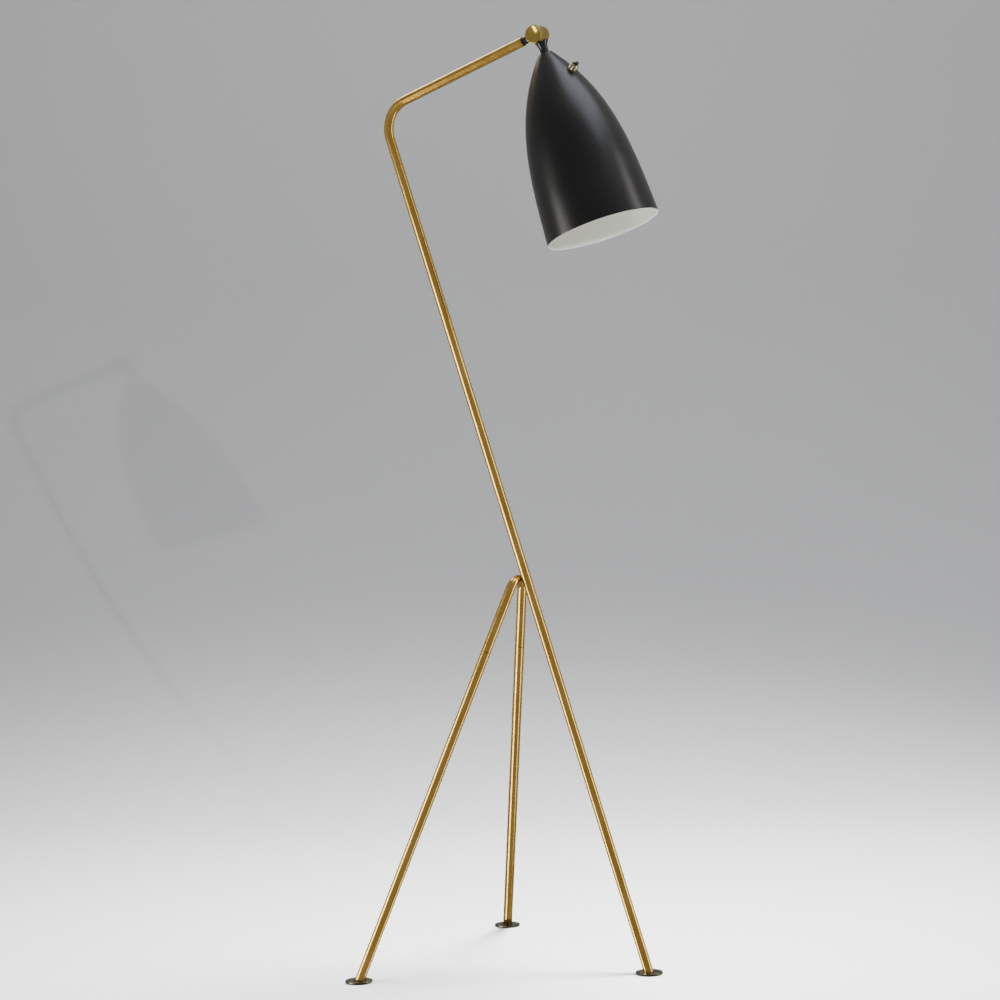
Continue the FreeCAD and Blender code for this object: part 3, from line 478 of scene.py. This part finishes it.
finishes = {key: smallFinish(part) for key, part in smallParts.items()}
polished, bronze, opal = turnedBrass(), agedBronze(), frostedGlass()
outerPaint, innerPaint = sprayedEnamel(paints["outside"]), sprayedEnamel(paints["inside"])
castPaint = sprayedEnamel(paints["casting"])
nodeLooks = {
    "stem_tube": linishedBrass("linishedBrassStem", stemAxis),
    "leg_left": linishedBrass("linishedBrassLegLeft", legAxes["left"]),
    "leg_right": linishedBrass("linishedBrassLegRight", legAxes["right"]),
    "leg_yoke": linishedBrass("linishedBrassHairpin", (legAxes["left"] + legAxes["right"]).normalized()),
    "yoke_weld": finishes["braze"],
    **{name: polished for name in ("knuckle_cap", "arm_eye", "head_eye", "knuckle_nut")},
    **{f"foot_disc_{place}": bronze for place in feet},
    **{f"foot_pad_{place}": finishes["rubber"] for place in feet},
    **{name: finishes["steel"] for name in ("stud_left", "stud_right", "arm_plug", "pivot_tube", "nipple",
                                            "lock_nut", "friction_washer", "toggle_pin")},
    "cord_gland": finishes["rubber"], "neck": castPaint, "arm_collar": castPaint,
    "switch_nut": finishes["nickel"], "switch_body": finishes["phenolic"], "switch_toggle": finishes["tip"],
    "holder_shell": finishes["phenolic"], "holder_base": finishes["porcelain"],
    "holder_screw": finishes["contact"], "holder_contact": finishes["contact"],
    "bulb_cap": finishes["aluminium"], "bulb_glass": opal,
    "lead_stem": finishes["jacket"], "lead_head": finishes["jacket"], "shade": outerPaint,
}
for name, material in nodeLooks.items():
    data = nodes[name].data
    if not data.materials:
        data.materials.append(material)
    for index in range(len(data.materials)):
        nodes[name].material_slots[index].material = material
print("materials on", len(nodeLooks), "nodes")


def makePiece(name, mesh, materials, body, replaced=()):
    # turns finished mesh code into a named, smooth piece on its body
    bmesh.ops.recalc_face_normals(mesh, faces=mesh.faces)
    data = bpy.data.meshes.new(name)
    mesh.to_mesh(data)
    mesh.free()
    for face in data.polygons:
        face.use_smooth = True
    for material in materials:
        data.materials.append(material)
    piece = bpy.data.objects.new(name, data)
    bpy.context.scene.collection.objects.link(piece)
    if replaced:
        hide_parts(*replaced)
    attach(piece, body)
    return piece


def headPoint(radius, depth, angle=0.0):
    # a place round the shade's axis; angle 0 is the front, below the arm's line
    outward = headFront * math.cos(angle) + headSide * math.sin(angle)
    return headPivot + headDown * depth + outward * radius


def axisPoint(start, axis):
    # the same for any other axis: radius, distance along it, angle
    first = axis.orthogonal().normalized()
    second = axis.cross(first)
    return lambda radius, along, angle=0.0: (
        start + axis * along + (first * math.cos(angle) + second * math.sin(angle)) * radius)


def spin(profile, place, turns=96, closed=False):
    # turns a profile of (radius, distance, material index) about an axis; the index is for the band after it
    mesh = bmesh.new()
    rings = []
    for radius, depth in (entry[:2] for entry in profile):
        if radius < 1e-6:
            rings.append([mesh.verts.new(place(0, depth))])
            continue
        rings.append([mesh.verts.new(place(radius, depth, 2 * math.pi * step / turns)) for step in range(turns)])
    following = rings[1:] + rings[:1] if closed else rings[1:]
    for first, second, entry in zip(rings, following, profile):
        for step in range(turns):
            after = (step + 1) % turns
            corners = [first[step % len(first)], first[after % len(first)],
                       second[after % len(second)], second[step % len(second)]]
            unique = list(dict.fromkeys(corners))
            if len(unique) > 2:
                mesh.faces.new(unique).material_index = entry[2]
    return mesh


# spun shell, black outside and off-white inside, with a hemmed rim
shadeShape = {"crownRadius": 9.6 * mm, "swell": 53.5 * mm, "power": 3.4, "flare": 13.1 * mm, "wall": 0.9 * mm,
              "hem": 0.8 * mm, "holeShare": 0.55, "turns": 192, "rings": 96}


def depthsOf(node):
    deep = (points(node) - np.array(headPivot[:])) @ np.array(headDown[:])
    return float(deep.min()), float(deep.max())


def makeShade():
    shape = shadeShape
    top, rim = depthsOf("shade")
    reach = rim - top

    def radiusAt(depth):
        t = (depth - top) / reach
        return shape["crownRadius"] + shape["swell"] * (1 - max(1 - t, 0) ** shape["power"]) + shape["flare"] * t

    hem, wall = shape["hem"], shape["wall"]
    outer, inner = [], []
    for step in range(shape["rings"] + 1):
        depth = top + (reach - hem) * (step / shape["rings"]) ** 1.6
        slope = (radiusAt(depth + 1e-5) - radiusAt(depth - 1e-5)) / 2e-5
        along = math.hypot(1, slope)
        outer.append((radiusAt(depth), depth, 0))
        inner.append((radiusAt(depth) - wall / along, depth + wall * slope / along, 1))
    inner = [entry for entry in inner if entry[1] < rim - hem * 1.2]
    middle = radiusAt(rim) - hem
    bead = []
    for step in range(1, 9):
        angle = math.pi * step / 9
        bead.append((middle + hem * math.cos(angle), rim - hem + hem * math.sin(angle), 0 if step < 4 else 1))
    hole = shape["crownRadius"] * shape["holeShare"]  # hidden under the neck
    crown = [(hole, top + 0.02 * mm, 0), (shape["crownRadius"] - 0.8 * mm, top + 0.02 * mm, 0)]
    under = [(hole, top + wall, 1)]
    profile = crown + outer + bead + list(reversed(inner)) + under
    makePiece("shade_spinning", spin(profile, headPoint, shape["turns"], closed=True), [outerPaint, innerPaint],
              "head", ["shade"])


makeShade()
print("shade made")

# toggle: a plated lever with a moulded tip, which swells towards its end
toggleShape = {"leverRadius": 1.2 * mm, "tipRadius": 2.7 * mm, "tipStart": 6.7 * mm, "below": 2.0 * mm,
               "dome": 1.5 * mm, "domeSteps": 8}


def makeToggle():
    shape = toggleShape
    cloud = points("switch_toggle") - np.array(togglePivot[:])
    far = cloud[np.linalg.norm(cloud, axis=1) > np.linalg.norm(cloud, axis=1).max() - 1.0 * mm].mean(0)
    axis = Vector(far).normalized()
    end = float((cloud @ np.array(axis[:])).max())
    lever, tip, start = shape["leverRadius"], shape["tipRadius"], shape["tipStart"]
    profile = [(0, -shape["below"], 0), (lever * 0.8, -shape["below"], 0), (lever, -shape["below"] * 0.8, 0),
               (lever, start, 1), (tip * 0.7, start, 1), (tip * 0.84, start + 0.25 * mm, 1),
               (tip * 0.9, start + 0.9 * mm, 1), (tip * 0.97, start + 1.7 * mm, 1)]
    dome, steps = shape["dome"], shape["domeSteps"]
    for step in range(steps + 1):
        angle = math.pi / 2 * step / steps
        profile.append((tip * 0.45 + tip * 0.55 * math.cos(angle), end - dome + dome * math.sin(angle), 1))
    profile.append((0, end, 1))
    makePiece("toggle_lever", spin(profile, axisPoint(togglePivot, axis), 48),
              [finishes["nickel"], finishes["tip"]], "toggle", ["switch_toggle"])


makeToggle()

# screw cap of the bulb: a rolled thread of 27 mm, 3.6 mm pitch, with a solder tip under it
capShape = {"radius": 12.7 * mm, "thread": 0.5 * mm, "pitch": 3.62 * mm, "shoulder": 5.4 * mm,
            "rings": 64, "turns": 96}


def makeBulbCap():
    shape = capShape
    top, rim = depthsOf("bulb_cap")

    def threaded(radius, depth, angle=0.0):
        run = min(max((depth - top - 6 * mm) / (2 * mm), 0), max((rim - 2 * mm - depth) / (2 * mm), 0), 1)
        wave = math.sin(2 * math.pi * depth / shape["pitch"] - angle)
        return headPoint(radius + (shape["thread"] * wave * run if radius > 10 * mm else 0), depth, angle)

    profile = [(0, top, 0), (3.0 * mm, top + 0.1 * mm, 0), (4.4 * mm, top + 0.6 * mm, 0),
               (9.0 * mm, top + 3.4 * mm, 0), (11.6 * mm, top + 4.6 * mm, 0)]
    for step in range(shape["rings"] + 1):
        depth = top + shape["shoulder"] + (rim - top - shape["shoulder"]) * step / shape["rings"]
        profile.append((shape["radius"], depth, 0))
    profile.append((0, rim, 0))
    makePiece("bulb_screw_cap", spin(profile, threaded, shape["turns"]), [finishes["aluminium"]],
              "head", ["bulb_cap"])


makeBulbCap()
print("toggle and bulb cap made")

# joint lines: a thin dark ring in the groove where each leg screws on, which also paints the groove's shadow, and
# a braze fillet at each foot
jointShape = {"tubeRadius": 6.5 * mm, "seamHalf": 0.38 * mm, "seamDeep": 0.36 * mm, "seamProud": -0.03 * mm,
              "discTop": 2.6 * mm, "filletOut": 1.5 * mm, "filletUp": 1.5 * mm, "filletSteps": 5}


def makeSeams():
    shape = jointShape
    outer, inner = shape["tubeRadius"] + shape["seamProud"], shape["tubeRadius"] - shape["seamDeep"]
    half = shape["seamHalf"]
    for side in legAxes:
        profile = [(inner, -half * 0.3, 0), (outer, -half, 0), (outer, half, 0), (inner, half * 0.3, 0)]
        mesh = spin(profile, axisPoint(legSeams[side], legAxes[side]), 64, closed=True)
        # the ring's dark colour paints the shadow in the seam groove as well as the darkened brass
        makePiece(f"seam_ring_{side}", mesh, [finishes["tarnishAndGrooveShade"]], "stand")


def makeFootBraze(place, axis):
    # the tube leans, so the fillet follows an ellipse on top of the disc
    shape = jointShape
    radius, count = shape["tubeRadius"], 72
    centre = feet[place] + axis * (shape["discTop"] / axis.z)
    lean = Vector((axis.x, axis.y, 0)).normalized()
    aside = up.cross(lean)
    mesh = bmesh.new()
    rings = []
    for step in range(shape["filletSteps"] + 1):
        share = step / shape["filletSteps"]
        outward = shape["filletOut"] * (1 - math.cos(share * math.pi / 2))
        climb = shape["filletUp"] * (1 - math.sin(share * math.pi / 2))
        ring = []
        for index in range(count):
            angle = 2 * math.pi * index / count
            # braze runs unevenly round the tube
            ripple = 1 + 0.12 * math.sin(3 * angle + 1) + 0.08 * math.sin(7 * angle)
            direction = lean * math.cos(angle) / axis.z + aside * math.sin(angle)
            spot = centre + direction * radius + direction.normalized() * outward * ripple
            ring.append(mesh.verts.new(spot + axis * climb * ripple))
        rings.append(ring)
    base = []
    for index in range(count):
        angle = 2 * math.pi * index / count
        direction = lean * math.cos(angle) / axis.z + aside * math.sin(angle)
        base.append(mesh.verts.new(centre + direction * (radius - 0.2 * mm) - up * 0.1 * mm))
    rings.append(base)
    for first, second in zip(rings, rings[1:] + rings[:1]):
        for index in range(count):
            after = (index + 1) % count
            mesh.faces.new((first[index], first[after], second[after], second[index]))
    makePiece(f"foot_braze_{place}", mesh, [finishes["braze"]], "stand")


makeSeams()
for place, axis in {"front": stemAxis, **legAxes}.items():
    makeFootBraze(place, axis)
print("joint lines and foot fillets made")
